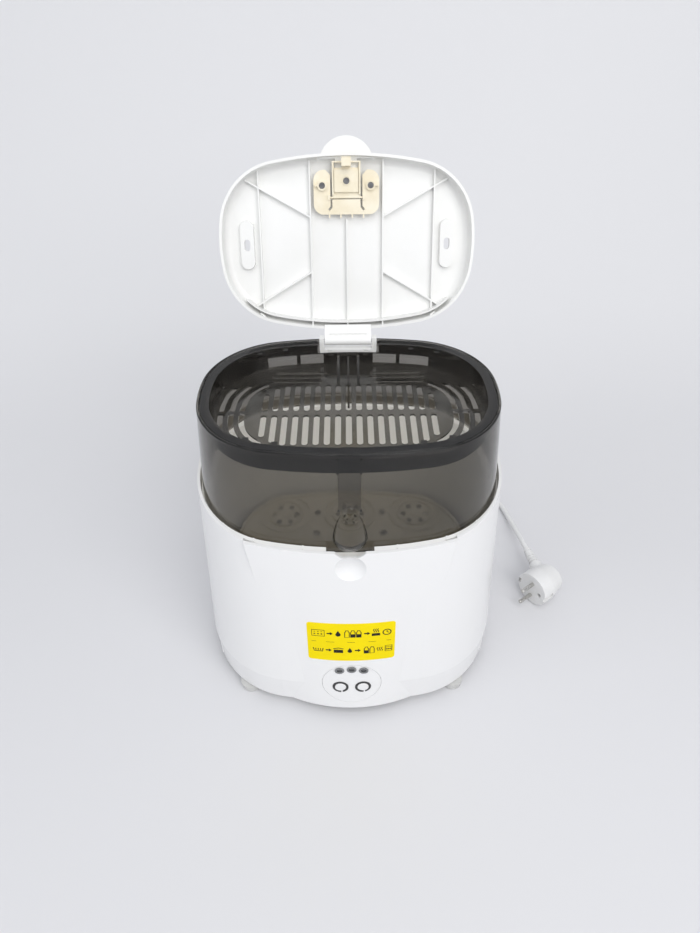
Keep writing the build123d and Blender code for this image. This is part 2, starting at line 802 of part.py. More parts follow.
with BuildPart() as tray:
    with BuildSketch(at(tray_floor_z - 1.8)):
        oval_face(o=-9.2)
    extrude(amount=rim_z - 0.4 - tray_floor_z + 1.8)
    with BuildSketch(at(rim_z - 2.4)):
        oval_face(o=-2.8)
    extrude(amount=2.0)
    with BuildSketch(at(tray_floor_z)):
        oval_face(o=-11.0)
    extrude(amount=40, mode=Mode.SUBTRACT)
    fillet(tray.edges().group_by(Axis.Z)[-1].filter_by(lambda e: e.length > 1), radius=0.6)
    # two rows of long slots
    with BuildSketch(at(tray_floor_z - 3)):
        for k in range(-8, 9):
            x = k * slot_pitch
            rear = 44.0 if abs(k) < 7 else (40.0 if abs(k) == 7 else 29.0)
            front = -47.5 if abs(k) < 7 else (-43.5 if abs(k) == 7 else -35.5)
            with Locations((x, (rear + 2.2) / 2)):
                SlotOverall(rear - 2.2, slot_w, rotation=90)
            with Locations((x, (front - 4.4) / 2)):
                SlotOverall(-front - 4.4, slot_w, rotation=90)
        # three rear slots on each side
        for y, x0, x1 in ((49.5, 24.0, 72.0), (57.0, 20.0, 74.0), (64.5, 20.0, 70.0)):
            for s in (-1, 1):
                with Locations((s * (x0 + x1) / 2, y)):
                    SlotOverall(x1 - x0, 3.2)
    extrude(amount=6, mode=Mode.SUBTRACT)
    # three curved slots at each end
    for o0, o1, y1 in ((-14.5, -19.5, 40.0), (-24.0, -29.0, 44.0), (-33.5, -38.5, 48.0)):
        for s in (-1, 1):
            for y_low, y_high in ((2.4, y1), (-y1, -1.6)):
                with BuildSketch(at(tray_floor_z - 3)):
                    oval_face(o=o0)
                    oval_face(mode=Mode.SUBTRACT, o=o1)
                    with Locations((s * 105.0, (y_low + y_high) / 2)):
                        Rectangle(60.0, y_high - y_low, mode=Mode.INTERSECT)
                extrude(amount=6, mode=Mode.SUBTRACT)
    # steam windows in the rear wall
    for x0, x1 in ((24.0, 46.5), (50.0, 77.5), (-46.5, -24.0), (-77.5, -50.0)):
        with BuildSketch(facing(95.0, (x0 + x1) / 2, 314.2)):
            Rectangle(x1 - x0, 11.0)
        extrude(amount=32, mode=Mode.SUBTRACT)
    # room for the hinge
    with BuildSketch(facing(95.0, 0, 0)):
        with Locations((0, 338.0)):
            Rectangle(59.0, 36.0)
    extrude(amount=24.0, mode=Mode.SUBTRACT)
    # centre rails and pointed gusset
    for x in (-9.5, 9.5):
        with BuildSketch(sideways(x - 1.1)):
            with BuildLine():
                Polyline((80.4, tray_floor_z - 0.5), (80.4, 319.0), (74.0, 319.0), (45.0, tray_floor_z + 1.0), (45.0, tray_floor_z - 0.5), (80.4, tray_floor_z - 0.5))
            make_face()
        extrude(amount=2.2)
    with BuildSketch(sideways(-0.9)):
        with BuildLine():
            Polyline((80.4, tray_floor_z - 0.5), (80.4, 318.0), (62.0, 316.0), (6.0, tray_floor_z + 1.2), (6.0, tray_floor_z - 0.5), (80.4, tray_floor_z - 0.5))
        make_face()
    extrude(amount=1.8)
    # lugs that carry the lid's edge, and the catch of the latch
    for x, y in ((-60.0, -73.4), (60.0, -73.4), (-84.0, -67.2), (84.0, -67.2), (-60.0, 73.4), (60.0, 73.4), (-84.0, 67.2), (84.0, 67.2)):
        s = 1 if y > 0 else -1
        with BuildSketch(at(326.0)):
            with Locations((x, y)):
                Rectangle(5.0, 7.0)
        extrude(amount=3.0)
    with BuildSketch(at(323.8)):
        with Locations((0, -77.9)):
            Rectangle(13.0, 5.0)
    extrude(amount=3.2)
save(tray, "tray")

# ---------------------------------------------------------------------------
# Hinge: bracket in the chamber's rear rim, steel pin, arm on the lid
# ---------------------------------------------------------------------------

pin_y = lid_y + pin_q * sin(lean) - pin_w * cos(lean)
pin_z = lid_z + pin_q * cos(lean) + pin_w * sin(lean)

with BuildPart() as hinge_bracket:
    with BuildSketch(facing(92.8, 0, 318.3)):
        Rectangle(55.0, 4.0)
    extrude(amount=7.0)
    for x in (-27.5, 23.2):
        with BuildSketch(sideways(x)):
            with BuildLine():
                Polyline((85.8, 319.0), (85.8, pin_z), (pin_y - 3.6, pin_z + 4.2), (pin_y + 3.6, pin_z + 4.2), (pin_y + 4.2, pin_z), (92.8, 319.0), (85.8, 319.0))
            make_face()
        extrude(amount=4.3)
        with BuildSketch(sideways(x)):
            with Locations((pin_y, pin_z)):
                Circle(hinge_r + 0.01)
        extrude(amount=4.3, mode=Mode.SUBTRACT)
    # small feet that grip the rim's inside
    with BuildSketch(facing(85.8, 0, 315.6)):
        with Locations((-17.0, 0), (17.0, 0)):
            Rectangle(5.0, 3.4)
        with Locations((0, 0)):
            Rectangle(19.0, 3.4)
    extrude(amount=-2.2)
    with BuildSketch(facing(87.6, 0, 318.9)):
        with Locations((-17.7, 0), (17.7, 0)):
            Rectangle(4.2, 1.1)
    extrude(amount=3.0, mode=Mode.SUBTRACT)
save(hinge_bracket, "hinge_bracket")

with BuildPart() as hinge_pin:
    with BuildSketch(sideways(-27.5)):
        with Locations((pin_y, pin_z)):
            Circle(hinge_r)
    extrude(amount=55.0)
save(hinge_pin, "hinge_pin")

with BuildPart() as hinge_arm:
    with BuildSketch(lid_side(-22.6)):
        with Locations((pin_q, pin_w)):
            Circle(4.4)
        with BuildLine():
            Polyline((pin_q, pin_w + 4.4), (3.0, 1.6), (9.0, -0.6), (9.0, -9.0), (4.0, -9.0), (pin_q - 0.5, pin_w - 4.35), (pin_q, pin_w + 4.4))
        make_face()
        with Locations((pin_q, pin_w)):
            Circle(hinge_r + 0.06, mode=Mode.SUBTRACT)
    extrude(amount=45.2)
    # groove across the arm
    with BuildSketch(lid_side(-18.0)):
        with Locations((0.2, 2.6)):
            Rectangle(1.2, 1.6)
    extrude(amount=36.0, mode=Mode.SUBTRACT)
save(hinge_arm, "hinge_arm")

# ---------------------------------------------------------------------------
# Lid shell: shallow dish with ribs, vent pads and a double rear wall
# ---------------------------------------------------------------------------

lid = dict(a=lid_a, b=lid_b, rf=lid_front_r, rs=lid_side_r, rc=lid_corner_r, cy=lid_c)

with BuildPart() as lid_inside:
    for w, o in ((0.5, -lid_wall), (-(lid_depth - lid_wall), -lid_wall - 2.0)):
        with BuildSketch(lid_at(w)):
            oval_face(o=o, **lid)
    loft(ruled=True)
    fillet(lid_inside.faces().sort_by(Axis(LID.origin, LID.z_dir))[0].edges(), radius=6.0)

with BuildPart() as lid_shell:
    for w, o in ((0.0, 0.0), (-lid_depth, -2.2)):
        with BuildSketch(lid_at(w)):
            oval_face(o=o, **lid)
    loft(ruled=True)
    fillet(lid_shell.faces().sort_by(Axis(LID.origin, LID.z_dir))[0].edges(), radius=8.0)
    add(lid_inside.part, mode=Mode.SUBTRACT)
    rib_top, rib_floor = -8.6, -(lid_depth - lid_wall) - 0.4
    # straight ribs
    with BuildSketch(lid_at(rib_floor)):
        for x, q0, q1 in ((-33.8, 7.0, 157.0), (33.8, 7.0, 157.0), (0.0, 7.0, 106.0), (-81.4, 14.0, 150.0), (81.4, 14.0, 150.0)):
            with Locations((x, (q0 + q1) / 2)):
                Rectangle(1.3, q1 - q0)
        for x0, q0, x1, q1 in ((-97.0, 142.3, -33.8, 107.6), (97.0, 142.3, 33.8, 107.6), (-33.8, 58.0, -88.0, 26.5), (33.8, 58.0, 88.0, 26.5)):
            ang = degrees(atan2(q1 - q0, x1 - x0))
            with Locations(Location(((x0 + x1) / 2, (q0 + q1) / 2, 0), (0, 0, ang))):
                Rectangle(hypot(x1 - x0, q1 - q0), 1.3)
    extrude(amount=rib_top - rib_floor)
    # double wall along the rear
    with BuildSketch(lid_at(rib_floor)):
        oval_face(o=-6.4, **lid)
        oval_face(mode=Mode.SUBTRACT, o=-7.8, **lid)
        with Locations((0, 0)):
            Rectangle(300, 66.0, mode=Mode.INTERSECT)
    extrude(amount=-rib_floor - 0.2)
    with BuildSketch(lid_at(rib_floor)):
        for x, q in ((0.0, 8.0), (-33.8, 9.6), (33.8, 9.6)):
            with Locations((x, q)):
                Rectangle(1.3, 5.6)
        for s in (-1, 1):
            with Locations(Location((s * 82.0, 19.0, 0), (0, 0, -s * 55))):
                Rectangle(1.3, 5.6)
            with Locations(Location((s * 100.0, 31.0, 0), (0, 0, -s * 38))):
                Rectangle(1.3, 5.6)
    extrude(amount=-rib_floor - 1.4)
    # vent pads with a slot through the lid
    for s in (-1, 1):
        with BuildSketch(lid_at(rib_floor)):
            with Locations((s * 94.3, 83.0)):
                SlotOverall(45.0, 14.0, rotation=90)
        extrude(amount=5.0, taper=8)
    # posts of the latch plate
    with BuildSketch(lid_at(rib_floor)):
        with Locations((-22.3, 134.8), (22.3, 134.8)):
            Circle(3.6)
    extrude(amount=-8.2 - rib_floor)
    with BuildSketch(lid_at(-20.0)):
        for s in (-1, 1):
            with Locations((s * 94.3, 83.0)):
                SlotOverall(10.5, 5.6, rotation=90)
    extrude(amount=20, mode=Mode.SUBTRACT)
    with BuildSketch(lid_at(-8.2)):
        with Locations((-22.3, 134.8), (22.3, 134.8)):
            Circle(1.25)
    extrude(amount=-5.0, mode=Mode.SUBTRACT)
    # pass for the release tab in the front wall, and seat of the hinge arm
    with BuildSketch(lid_side(-26.0)):      # slot for the release tab
        with Locations((162.0, -8.2)):
            Rectangle(14.0, 6.4)
    extrude(amount=52.0, mode=Mode.SUBTRACT)
    with BuildSketch(lid_side(-22.8)):
        with Locations((0.0, -4.4)):
            Rectangle(18.4, 9.6)
    extrude(amount=45.6, mode=Mode.SUBTRACT)
save(lid_shell, "lid_shell")

# ---------------------------------------------------------------------------
# Latch on the lid: plate, sprung tongue with hook, release tab and screws
# ---------------------------------------------------------------------------

flex_q, flex_w = 124.5, -7.0            # line about which the tongue flexes

with BuildPart() as latch_plate:
    with BuildSketch(lid_at(-8.2)):
        with Locations((0, 129.0)):
            RectangleRounded(60.4, 38.4, 9.0)
        with Locations((0, 138.7)):
            Rectangle(28.0, 31.6, mode=Mode.SUBTRACT)
        for s in (-1, 1):
            with Locations((s * 13.9, 133.2)):
                Rectangle(1.8, 33.6, mode=Mode.SUBTRACT)
            # outward end of each slot, and the bevelled corner at its mouth
            with Locations(Location((s * 14.9, 115.4, 0), (0, 0, s * 38))):
                Rectangle(2.0, 4.6, mode=Mode.SUBTRACT)
            with Locations(Location((s * 14.8, 148.2, 0), (0, 0, 45))):
                Rectangle(6.0, 6.0, mode=Mode.SUBTRACT)
    extrude(amount=2.0)
    # bosses with sunk screw seats, and a short web to the plate's edge
    with BuildSketch(lid_at(-6.2)):
        with Locations((-22.3, 134.8), (22.3, 134.8)):
            Circle(4.3)
        with Locations((-27.6, 134.8), (27.6, 134.8)):
            Rectangle(3.6, 1.3)
    extrude(amount=2.6)
    with BuildSketch(lid_at(-5.8)):
        with Locations((-22.3, 134.8), (22.3, 134.8)):
            Circle(2.9)
    extrude(amount=4.0, mode=Mode.SUBTRACT)
    with BuildSketch(lid_at(-9.0)):
        with Locations((-22.3, 134.8), (22.3, 134.8)):
            Circle(1.6)
    extrude(amount=6.0, mode=Mode.SUBTRACT)
    with BuildSketch(lid_at(-8.2)):
        with Locations((-15.8, 108.4), (-5.3, 108.4), (5.3, 108.4), (15.8, 108.4)):
            Rectangle(1.4, 3.4)
    extrude(amount=1.8)
    # ears for the tongue's bead
    with BuildSketch(lid_at(-8.2)):
        with Locations((-16.2, flex_q), (16.2, flex_q)):
            Rectangle(2.4, 4.4)
    extrude(amount=3.2)
    with BuildSketch(lid_side(-15.9)):
        with Locations((flex_q, flex_w)):
            Circle(0.96)
    extrude(amount=31.8, mode=Mode.SUBTRACT)
save(latch_plate, "latch_plate")

with BuildPart() as latch_tongue:
    with BuildSketch(lid_at(-8.0)):
        with Locations((0, (flex_q + 155.3) / 2)):
            Rectangle(26.0, 155.3 - flex_q)
        with Locations((-7.6, 152.2), (7.6, 152.2)):
            Rectangle(6.8, 4.6, mode=Mode.SUBTRACT)
    extrude(amount=1.8)
    with BuildSketch(lid_at(-6.2)):
        with Locations((0, 154.8)):
            Rectangle(26.0, 1.4)
        with Locations((-12.3, 141.0), (12.3, 141.0)):
            Rectangle(1.4, 28.0)
        with Locations((0, 138.6)):
            Rectangle(22.0, 19.0)
    extrude(amount=2.6)
    # bead on the line about which the tongue flexes
    with BuildSketch(lid_side(-15.6)):
        with Locations((flex_q, flex_w)):
            Circle(0.9)
    extrude(amount=31.2)
    # raised rim round the sunk screw
    with BuildSketch(lid_at(-3.6)):
        with Locations((0, 138.6)):
            Circle(4.1)
    extrude(amount=0.7)
    with BuildSketch(lid_at(-5.4)):
        with Locations((0, 138.6)):
            Circle(3.0)
    extrude(amount=4.0, mode=Mode.SUBTRACT)
    # hook
    with BuildSketch(lid_side(-4.2)):
        with BuildLine():
            Polyline((150.8, -6.6), (150.8, 9.0), (157.4, 9.0), (158.4, 7.6), (158.4, 6.2), (153.8, 6.2), (153.8, -6.6), (150.8, -6.6))
        make_face()
    extrude(amount=8.4)
    with BuildSketch(lid_at(-9.0)):
        with Locations((0, 138.6)):
            Circle(1.7)
    extrude(amount=8.0, mode=Mode.SUBTRACT)
save(latch_tongue, "latch_tongue")

with BuildPart() as release_tab:
    with BuildSketch(lid_at(-10.6)):
        with Locations((0, 151.2)):
            Circle(25.5)
        with Locations((0, 100.0)):
            Rectangle(80, 115.2, mode=Mode.SUBTRACT)
        with Locations((0, 146.75)):
            Rectangle(20.0, 23.5)
    extrude(amount=2.6)
    with BuildSketch(lid_at(-11.0)):
        with Locations((0, 138.6)):
            Circle(1.3)
    extrude(amount=4.0, mode=Mode.SUBTRACT)
save(release_tab, "release_tab")

with BuildPart() as latch_screws:
    for x in (-22.3, 22.3):
        with BuildSketch(lid_at(-5.8)):
            with Locations((x, 134.8)):
                Circle(2.6)
                Circle(1.0, mode=Mode.SUBTRACT)
        extrude(amount=1.3)
        with BuildSketch(lid_at(-5.3)):
            with Locations((x, 134.8)):
                Circle(1.2)
        extrude(amount=-6.9)
save(latch_screws, "latch_screws")

with BuildPart() as tab_screw:
    with BuildSketch(lid_at(-5.4)):
        with Locations((0, 138.6)):
            Circle(2.7)
            Circle(1.0, mode=Mode.SUBTRACT)
    extrude(amount=1.3)
    with BuildSketch(lid_at(-4.9)):
        with Locations((0, 138.6)):
            Circle(1.25)
    extrude(amount=-5.4)
save(tab_screw, "tab_screw")

# ---------------------------------------------------------------------------
# Mains entry inside the base
# ---------------------------------------------------------------------------

with BuildPart() as cord_gland:
    with BuildSketch(facing(103.2, gland_x, gland_z)):
        Circle(6.4)
    extrude(amount=7.4)
    with BuildSketch(facing(105.2, gland_x, gland_z)):
        Circle(10.0)
    extrude(amount=2.0)
    with BuildSketch(facing(105.2, gland_x, gland_z)):
        Circle(6.4)
    with BuildSketch(facing(137.0, gland_x, gland_z)):
        Circle(4.3)
    loft()
    for k in range(4):
        with BuildSketch(facing(112.0 + 5.6 * k, gland_x, gland_z)):
            Circle(9.0)
            Circle(5.3 - 0.35 * k, mode=Mode.SUBTRACT)
        extrude(amount=-2.0, mode=Mode.SUBTRACT)
    with BuildSketch(facing(138.0, gland_x, gland_z)):
        Circle(cord_r + 0.1)
    extrude(amount=60.0, mode=Mode.SUBTRACT)
save(cord_gland, "cord_gland")

with BuildPart() as gland_clip:
    with BuildSketch(facing(97.8, gland_x, gland_z)):
        Circle(9.5)
        Circle(6.45, mode=Mode.SUBTRACT)
        with Locations((0, 8)):
            Rectangle(9.0, 10.0, mode=Mode.SUBTRACT)
    extrude(amount=1.8)
save(gland_clip, "gland_clip")

with BuildPart() as cord_tail:
    with BuildSketch(facing(137.0, gland_x, gland_z)):
        Circle(cord_r)
    extrude(amount=64.0)
save(cord_tail, "cord_tail")

with BuildPart() as cord_clamp:
    with BuildSketch(facing(86.0, gland_x, gland_z)):
        with Locations((0, 2.2)):
            Rectangle(24.0, 9.4)
        Circle(cord_r + 0.1, mode=Mode.SUBTRACT)
        with Locations((0, -2.5)):
            Rectangle(2 * cord_r + 0.2, 5.0, mode=Mode.SUBTRACT)
    extrude(amount=8.0)
save(cord_clamp, "cord_clamp")

with BuildPart() as clamp_bolts:
    for s in (-1, 1):
        with BuildSketch(at(gland_z + 6.9)):
            with Locations((gland_x + s * 8.5, 82.0)):
                Circle(2.8)
        extrude(amount=1.8)
save(clamp_bolts, "clamp_bolts")

with BuildPart() as terminal_block:
    with BuildSketch(at(12.0)):
        with Locations((gland_x, 65.0)):
            RectangleRounded(32.0, 15.0, 1.0)
    extrude(amount=17.0)
    with BuildSketch(facing(72.5, gland_x, 0)):
        with Locations((-10, gland_z), (0, gland_z - 4), (10, gland_z)):
            Circle(1.6)
    extrude(amount=15.0, mode=Mode.SUBTRACT)
save(terminal_block, "terminal_block")

with BuildPart() as earth_stud:
    with BuildSketch(at(12.0)):
        with Locations((gland_x - 30, 65.0)):
            Circle(2.0)
    extrude(amount=12.0)
    with BuildSketch(at(14.0)):
        with Locations((gland_x - 30, 65.0)):
            RegularPolygon(4.0, 6)
    extrude(amount=3.0)
save(earth_stud, "earth_stud")


def wire(points, r):
    """Tube along straight runs joined by arcs as large as the runs allow."""
    pts = [Vector(*p) for p in points]
    radii = []
    for a, b, c in zip(pts, pts[1:], pts[2:]):
        turn = radians((b - a).get_angle(c - b))
        run = min((b - a).length, (c - b).length)
        radii.append(0.45 * run / tan(turn / 2))
    with BuildPart() as tube:
        with BuildLine() as path:
            FilletPolyline(*pts, radius=radii)
        with BuildSketch(Plane(origin=path.line @ 0, z_dir=path.line % 0)):
            Circle(r)
        sweep(path=path.line)
    return tube, sum(e.length for e in path.line.edges()), radii


heater_cable, _, _ = wire(
    [(gland_x - 10, body_y + 56.5, 22), (gland_x - 11, body_y + 42, 21), (gland_x - 6, body_y + 24, 26), (gland_x - 6.5, body_y + 8, 35), (58, body_y - 6, 43)],
    1.8,
)
save(heater_cable, "heater_cable")

board_cable, _, _ = wire(
    [(gland_x + 10, body_y + 56.5, 22), (gland_x + 9, body_y + 38, 20), (gland_x + 2, body_y + 14, 17), (gland_x - 6, body_y - 12, 17), (gland_x - 20, body_y - 42, 18), (gland_x - 32, body_y - 66, 24), (gland_x - 39, body_y - 84, 34)],
    2.2,
)
save(board_cable, "board_cable")

# ---------------------------------------------------------------------------
# Mains cord: lead from the gland, stored coil, run to the plug
# ---------------------------------------------------------------------------

lead_points = [
    (gland_x, body_y + 137.0, gland_z),
    (gland_x, body_y + 148.0, gland_z),
    (70.6, body_y + 160.0, 17.6),
    (72.0, body_y + 170.5, 12.4),
    (73.6, body_y + 181.0, 9.4),
]
run_points = [
    (122.0, body_y + 221.4, 3.2),
    (146.0, body_y + 220.6, 3.2),
    (174.0, body_y + 219.2, 3.2),
    (193.0, body_y + 214.0, 3.2),
    (205.5, body_y + 202.5, 3.2),
    (211.6, body_y + 186.5, 3.6),
    (215.7, body_y + 163.0, 6.4),
    (217.9, body_y + 142.0, 12.0),
    (219.5, body_y + 121.0, 17.8),
]

face = Vector(plug_face[0], body_y + plug_face[1], plug_face[2])
turn = radians(plug_turn)
plug_n = Vector(-cos(turn), -sin(turn), 0)          # the way the pins point
plug_h = Vector(-sin(turn), cos(turn), 0)           # level direction across the face
plug_s = Vector(-sin(radians(plug_cord_turn)), cos(radians(plug_cord_turn)), 0)   # the way the cord leaves
plug_axis_at = face - plug_n * plug_back            # where the cord's line meets the body's axis
relief_end = plug_axis_at + plug_s * 52.0
before_end = relief_end + plug_s * 13.0
run_points.append((before_end.X, before_end.Y, before_end.Z))
run_points.append((relief_end.X, relief_end.Y, relief_end.Z))

cord_lead, lead_length, lead_radii = wire(lead_points, cord_r)
save(cord_lead, "cord_lead")
cord_run, run_length, run_radii = wire(run_points, cord_r)
save(cord_run, "cord_run")
print("cord_lead length", round(lead_length, 1), "radii", [round(r, 1) for r in lead_radii],
      "volume ratio", round(cord_lead.part.volume / (3.14159265 * cord_r**2 * lead_length), 4))
print("cord_run length", round(run_length, 1), "radii", [round(r, 1) for r in run_radii],
      "volume ratio", round(cord_run.part.volume / (3.14159265 * cord_r**2 * run_length), 4))

with BuildPart() as cord_coil:
    with BuildSketch(Plane(origin=(coil_x, body_y + coil_y, 0))):
        Circle(coil_r + 6.6)
        Circle(coil_r - 6.6, mode=Mode.SUBTRACT)
    extrude(amount=12.8)
    fillet(cord_coil.edges(), radius=2.8)
save(cord_coil, "cord_coil")

PLUG = Plane(origin=face, x_dir=plug_h, z_dir=plug_n)     # local x is level across the face, local y is up or down

with BuildPart() as plug_body:
    with BuildSketch(PLUG):
        Circle(21.0)
    extrude(amount=-16.0)
    with BuildSketch(PLUG.offset(-16.0)):
        Circle(21.0)
    with BuildSketch(PLUG.offset(-37.0)):
        Circle(16.0)
    loft()
    fillet(plug_body.faces().sort_by(Axis(face, plug_n))[0].edges(), radius=5.0)
    fillet(plug_body.faces().sort_by(Axis(face, plug_n))[-1].edges(), radius=0.8)
    # neck that the cord leaves by
    with BuildSketch(Plane(origin=plug_axis_at, z_dir=plug_s)):
        Circle(8.0)
    extrude(amount=26.0)
    # contact hole and side grooves
    with BuildSketch(PLUG):
        with Locations((-11.5, 0)):
            Circle(2.7)
    extrude(amount=-14.0, mode=Mode.SUBTRACT)
    with BuildSketch(PLUG):
        with Locations((18.6, 0), (-20.4, 0)):
            Rectangle(3.4, 7.6)
    extrude(amount=-14.0, mode=Mode.SUBTRACT)
save(plug_body, "plug_body")

with BuildPart() as plug_pins:
    for s in (-1, 1):
        with BuildSketch(PLUG.offset(0.0)):
            with Locations((0, s * 9.5)):
                Circle(2.4)
        extrude(amount=19.0)
    fillet(plug_pins.faces().filter_by(lambda f: abs(f.normal_at().dot(plug_n)) > 0.99 and (f.center() - face).dot(plug_n) > 10).edges(), radius=1.4)
save(plug_pins, "plug_pins")

with BuildPart() as plug_earth_clip:
    with BuildSketch(PLUG.offset(-0.6)):
        with Locations((17.9, 0)):
            Rectangle(1.4, 6.6)
    extrude(amount=-12.8)
save(plug_earth_clip, "plug_earth_clip")

with BuildPart() as plug_strain_relief:
    base_pt = plug_axis_at + plug_s * 26.0
    with BuildSketch(Plane(origin=base_pt, z_dir=plug_s)):
        Circle(6.6)
    with BuildSketch(Plane(origin=relief_end, z_dir=plug_s)):
        Circle(4.3)
    loft()
    for k in range(5):
        p = base_pt + plug_s * (3.0 + 4.6 * k)
        with BuildSketch(Plane(origin=p, z_dir=plug_s)):
            Circle(9.0)
            Circle(4.9 - 0.25 * k, mode=Mode.SUBTRACT)
        extrude(amount=1.8, mode=Mode.SUBTRACT)
save(plug_strain_relief, "plug_strain_relief")
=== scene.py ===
import json
import math

import bmesh
import bpy
from mathutils import Matrix, Vector
from mathutils.bvhtree import BVHTree


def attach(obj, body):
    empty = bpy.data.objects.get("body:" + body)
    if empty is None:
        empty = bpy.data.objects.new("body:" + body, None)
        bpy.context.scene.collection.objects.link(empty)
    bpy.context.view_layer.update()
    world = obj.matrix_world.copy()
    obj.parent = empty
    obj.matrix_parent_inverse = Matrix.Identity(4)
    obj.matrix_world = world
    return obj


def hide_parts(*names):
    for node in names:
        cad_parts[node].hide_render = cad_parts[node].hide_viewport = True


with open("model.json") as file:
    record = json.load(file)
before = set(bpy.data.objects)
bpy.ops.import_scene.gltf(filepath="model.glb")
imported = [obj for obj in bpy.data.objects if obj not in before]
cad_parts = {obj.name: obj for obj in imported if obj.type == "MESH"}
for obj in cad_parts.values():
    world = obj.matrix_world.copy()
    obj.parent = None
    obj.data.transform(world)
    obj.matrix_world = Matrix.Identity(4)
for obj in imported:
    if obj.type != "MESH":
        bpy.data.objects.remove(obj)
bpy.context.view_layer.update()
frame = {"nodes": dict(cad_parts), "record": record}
nodes = frame["nodes"]

BODY_Y = -22.75         # y of the housing's centre in the row frame, mm


def mm(x, y, z):
    """A point given from the housing's centre in mm, as metres in the row frame."""
    return Vector((x / 1000, (y + BODY_Y) / 1000, z / 1000))


# ---------------------------------------------------------------------------
# Camera
# ---------------------------------------------------------------------------

cam_data = bpy.data.cameras.new("camera")
cam = bpy.data.objects.new("camera", cam_data)
bpy.context.scene.collection.objects.link(cam)
cam_data.sensor_fit = "AUTO"
cam_data.sensor_width = 36.0
cam_data.lens = 700.0 / 933.0 * 36.0
cam_data.clip_start, cam_data.clip_end = 0.05, 30.0
cam.matrix_world = (
    Matrix.Translation(mm(0.6, -511.5, 677.3))
    @ Matrix.Rotation(math.radians(90 - 40.36), 4, "X")
    @ Matrix.Rotation(math.radians(-0.62), 4, "Z")
)
bpy.context.scene.camera = cam

# ---------------------------------------------------------------------------
# Mains cord: one curve from the gland, round the stored coil, to the plug
# ---------------------------------------------------------------------------

CORD_R = 0.003
GLAND = (70.0, 137.0, 22.0)
COIL = (110.0, 185.0)

route = [
    GLAND,
    (70.0, 148.0, 22.0),
    (70.6, 160.0, 17.6),
    (72.0, 170.5, 12.4),
    (73.4, 178.5, 9.6),
]


def coil_at(t):
    """Radius and height of the wound cord after t turns."""
    def ease(a, b):
        k = min(max((t - a) / (b - a), 0.0), 1.0)
        return k * k * (3 - 2 * k)
    r = 36.3 - 6.3 * ease(0.72, 0.97) + 6.3 * ease(2.22, 2.48)
    z = 9.3 - 6.15 * ease(1.48, 1.74)
    return r, z


PER_TURN = 16
TURNS = 3.25
swell = 1 / math.cos(math.pi / PER_TURN)
steps = int(PER_TURN * TURNS)
for k in range(steps + 1):
    t = k / PER_TURN
    a = math.pi - 2 * math.pi * t
    r, z = coil_at(t)
    wob = 0.35 * math.sin(5.1 * t) + 0.25 * math.sin(11.3 * t + 1.0)
    if k == 0:
        wob = 0
    route.append((COIL[0] + (r * swell + wob) * math.cos(a), COIL[1] + (r * swell + wob) * math.sin(a), z))
route += [
    (128.0, 221.6, 3.15),
    (146.0, 220.6, 3.15),
    (174.0, 219.2, 3.15),
    (193.5, 214.2, 3.15),
    (206.5, 202.5, 3.2),
    (212.4, 186.0, 3.8),
    (215.7, 163.0, 6.6),
    (217.6, 142.0, 12.2),
    (219.3, 121.0, 17.8),
]

PLUG_TURN = math.radians(36.0)
CORD_TURN = math.radians(12.0)
PLUG_FACE = Vector((216.1, 29.6, 21.5))
plug_n = Vector((-math.cos(PLUG_TURN), -math.sin(PLUG_TURN), 0))
plug_s = Vector((-math.sin(CORD_TURN), math.cos(CORD_TURN), 0))
relief_end = PLUG_FACE - plug_n * 22.0 + plug_s * 52.0
route += [tuple(relief_end + plug_s * 11.0), tuple(relief_end)]

curve = bpy.data.curves.new("mains_cord", "CURVE")
curve.dimensions = "3D"
spline = curve.splines.new("NURBS")
spline.points.add(len(route) - 1)
for p, (x, y, z) in zip(spline.points, route):
    p.co = (*mm(x, y, z), 1.0)
    p.radius = CORD_R       # with a bevel of 1, the point's radius is the cord's
spline.order_u = 3
spline.use_endpoint_u = True
spline.resolution_u = 8
curve.bevel_depth = 1.0
curve.bevel_resolution = 6
curve.use_fill_caps = True
cord = bpy.data.objects.new("mains_cord", curve)
bpy.context.scene.collection.objects.link(cord)


def line_length(obj):
    """Length of a curve's own line, without its bevel."""
    bevel, caps = obj.data.bevel_depth, obj.data.use_fill_caps
    obj.data.bevel_depth, obj.data.use_fill_caps = 0, False
    bpy.context.view_layer.update()
    me = bpy.data.meshes.new_from_object(obj.evaluated_get(bpy.context.evaluated_depsgraph_get()))
    total = sum((me.vertices[a].co - me.vertices[b].co).length for a, b in (e.vertices for e in me.edges))
    bpy.data.meshes.remove(me)
    obj.data.bevel_depth, obj.data.use_fill_caps = bevel, caps
    return total


cord_length = line_length(cord)
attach(cord, "base")
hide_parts("cord_lead", "cord_coil", "cord_run")

# ---------------------------------------------------------------------------
# Materials
# ---------------------------------------------------------------------------


